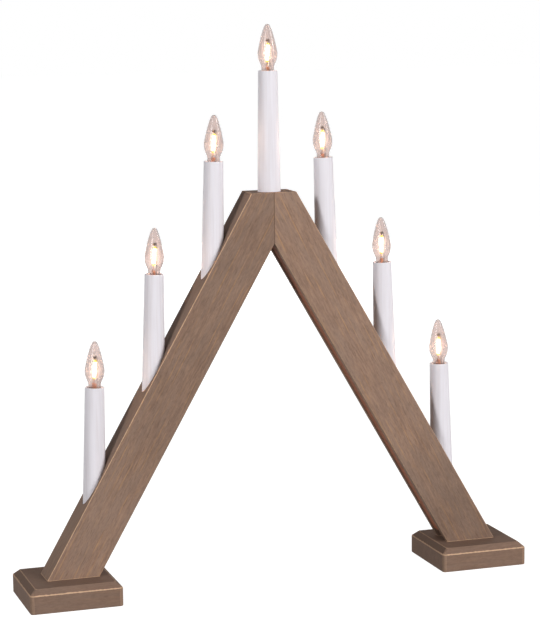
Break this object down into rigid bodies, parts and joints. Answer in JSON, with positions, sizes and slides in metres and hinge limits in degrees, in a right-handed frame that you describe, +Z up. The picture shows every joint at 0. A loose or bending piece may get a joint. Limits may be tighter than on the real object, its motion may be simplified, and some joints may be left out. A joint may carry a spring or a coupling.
{
  "type": "candle arch",
  "caption": "A-shaped wooden candle arch on two plinth feet, with white candle tubes and screw-in candle bulbs wired in series.",
  "frame": {"origin": "on the floor, midway between the two feet, in the middle of their depth", "axes": "+X to the right seen from the front, +Y to the back, +Z up"},
  "size_m": [0.4578, 0.0786, 0.4911],
  "materials": {
    "stained_wood": "grey-brown stain, matt",
    "hardboard": "raw hardboard",
    "dowel_wood": "plain beech",
    "screw_steel": "zinc plated",
    "brass_shell": "rolled brass",
    "bronze_contact": "spring bronze",
    "wire_sheath": "white sheath",
    "splice_sleeve": "red sleeve",
    "white_tube": "glossy white",
    "holder_plastic": "moulded, brown black",
    "clear_glass": "clear",
    "nickel_cap": "nickel plated",
    "tip_contact": "solder tip in dark glass",
    "filament": "lit, warm white"
  },
  "bodies": {
    "arch": {"left_board": "stained_wood", "right_board": "stained_wood", "left_foot": "stained_wood", "right_foot": "stained_wood", "left_cover_strip": "hardboard", "right_cover_strip": "hardboard", "mitre_dowels": "dowel_wood", "foot_screws": "screw_steel", "holder_shells": "brass_shell", "holder_contacts": "bronze_contact", "link_wires": "wire_sheath", "supply_wires": "wire_sheath", "wire_splices": "splice_sleeve", "candle_tube_1": "white_tube", "candle_tube_2": "white_tube", "candle_tube_3": "white_tube", "candle_tube_4": "white_tube", "candle_tube_5": "white_tube", "candle_tube_6": "white_tube", "candle_tube_7": "white_tube", "lampholder_1": "holder_plastic", "lampholder_2": "holder_plastic", "lampholder_3": "holder_plastic", "lampholder_4": "holder_plastic", "lampholder_5": "holder_plastic", "lampholder_6": "holder_plastic", "lampholder_7": "holder_plastic"},
    "bulb_1_tip": {"bulb_contact_1": "tip_contact"},
    "bulb_1": {"bulb_glass_1": "clear_glass", "bulb_cap_1": "nickel_cap", "bulb_filament_1": "filament"},
    "bulb_2_tip": {"bulb_contact_2": "tip_contact"},
    "bulb_2": {"bulb_glass_2": "clear_glass", "bulb_cap_2": "nickel_cap", "bulb_filament_2": "filament"},
    "bulb_3_tip": {"bulb_contact_3": "tip_contact"},
    "bulb_3": {"bulb_glass_3": "clear_glass", "bulb_cap_3": "nickel_cap", "bulb_filament_3": "filament"},
    "bulb_4_tip": {"bulb_contact_4": "tip_contact"},
    "bulb_4": {"bulb_glass_4": "clear_glass", "bulb_cap_4": "nickel_cap", "bulb_filament_4": "filament"},
    "bulb_5_tip": {"bulb_contact_5": "tip_contact"},
    "bulb_5": {"bulb_glass_5": "clear_glass", "bulb_cap_5": "nickel_cap", "bulb_filament_5": "filament"},
    "bulb_6_tip": {"bulb_contact_6": "tip_contact"},
    "bulb_6": {"bulb_glass_6": "clear_glass", "bulb_cap_6": "nickel_cap", "bulb_filament_6": "filament"},
    "bulb_7_tip": {"bulb_contact_7": "tip_contact"},
    "bulb_7": {"bulb_glass_7": "clear_glass", "bulb_cap_7": "nickel_cap", "bulb_filament_7": "filament"}
  },
  "joints": [
    {"name": "bulb_1_lift", "type": "slide", "parent": "arch", "child": "bulb_1_tip", "axis": [-0.0262, 0, 0.9997], "range_m": [0, 0.0091]},
    {"name": "bulb_1_turn", "type": "hinge", "parent": "bulb_1_tip", "child": "bulb_1", "pos_m": [0.15982, 0, 0.18476], "axis": [-0.0262, 0, 0.9997], "range_deg": [0, 1800]},
    {"name": "bulb_2_lift", "type": "slide", "parent": "arch", "child": "bulb_2_tip", "axis": [-0.0262, 0, 0.9997], "range_m": [0, 0.0091]},
    {"name": "bulb_2_turn", "type": "hinge", "parent": "bulb_2_tip", "child": "bulb_2", "pos_m": [0.10492, 0, 0.27984], "axis": [-0.0262, 0, 0.9997], "range_deg": [0, 1800]},
    {"name": "bulb_3_lift", "type": "slide", "parent": "arch", "child": "bulb_3_tip", "axis": [-0.0262, 0, 0.9997], "range_m": [0, 0.0091]},
    {"name": "bulb_3_turn", "type": "hinge", "parent": "bulb_3_tip", "child": "bulb_3", "pos_m": [0.05003, 0, 0.37492], "axis": [-0.0262, 0, 0.9997], "range_deg": [0, 1800]},
    {"name": "bulb_4_lift", "type": "slide", "parent": "arch", "child": "bulb_4_tip", "axis": [0, 0, 1], "range_m": [0, 0.0091]},
    {"name": "bulb_4_turn", "type": "hinge", "parent": "bulb_4_tip", "child": "bulb_4", "pos_m": [0, 0, 0.45134], "axis": [0, 0, 1], "range_deg": [0, 1800]},
    {"name": "bulb_5_lift", "type": "slide", "parent": "arch", "child": "bulb_5_tip", "axis": [0.0262, 0, 0.9997], "range_m": [0, 0.0091]},
    {"name": "bulb_5_turn", "type": "hinge", "parent": "bulb_5_tip", "child": "bulb_5", "pos_m": [-0.05003, 0, 0.37492], "axis": [0.0262, 0, 0.9997], "range_deg": [0, 1800]},
    {"name": "bulb_6_lift", "type": "slide", "parent": "arch", "child": "bulb_6_tip", "axis": [0.0262, 0, 0.9997], "range_m": [0, 0.0091]},
    {"name": "bulb_6_turn", "type": "hinge", "parent": "bulb_6_tip", "child": "bulb_6", "pos_m": [-0.10492, 0, 0.27984], "axis": [0.0262, 0, 0.9997], "range_deg": [0, 1800]},
    {"name": "bulb_7_lift", "type": "slide", "parent": "arch", "child": "bulb_7_tip", "axis": [0.0262, 0, 0.9997], "range_m": [0, 0.0091]},
    {"name": "bulb_7_turn", "type": "hinge", "parent": "bulb_7_tip", "child": "bulb_7", "pos_m": [-0.15982, 0, 0.18476], "axis": [0.0262, 0, 0.9997], "range_deg": [0, 1800]}
  ],
  "couplings": [
    {"joint": "bulb_1_lift", "follows": "bulb_1_turn", "m_per_rad": 0.00028871},
    {"joint": "bulb_2_lift", "follows": "bulb_2_turn", "m_per_rad": 0.00028871},
    {"joint": "bulb_3_lift", "follows": "bulb_3_turn", "m_per_rad": 0.00028871},
    {"joint": "bulb_4_lift", "follows": "bulb_4_turn", "m_per_rad": 0.00028871},
    {"joint": "bulb_5_lift", "follows": "bulb_5_turn", "m_per_rad": 0.00028871},
    {"joint": "bulb_6_lift", "follows": "bulb_6_turn", "m_per_rad": 0.00028871},
    {"joint": "bulb_7_lift", "follows": "bulb_7_turn", "m_per_rad": 0.00028871}
  ]
}
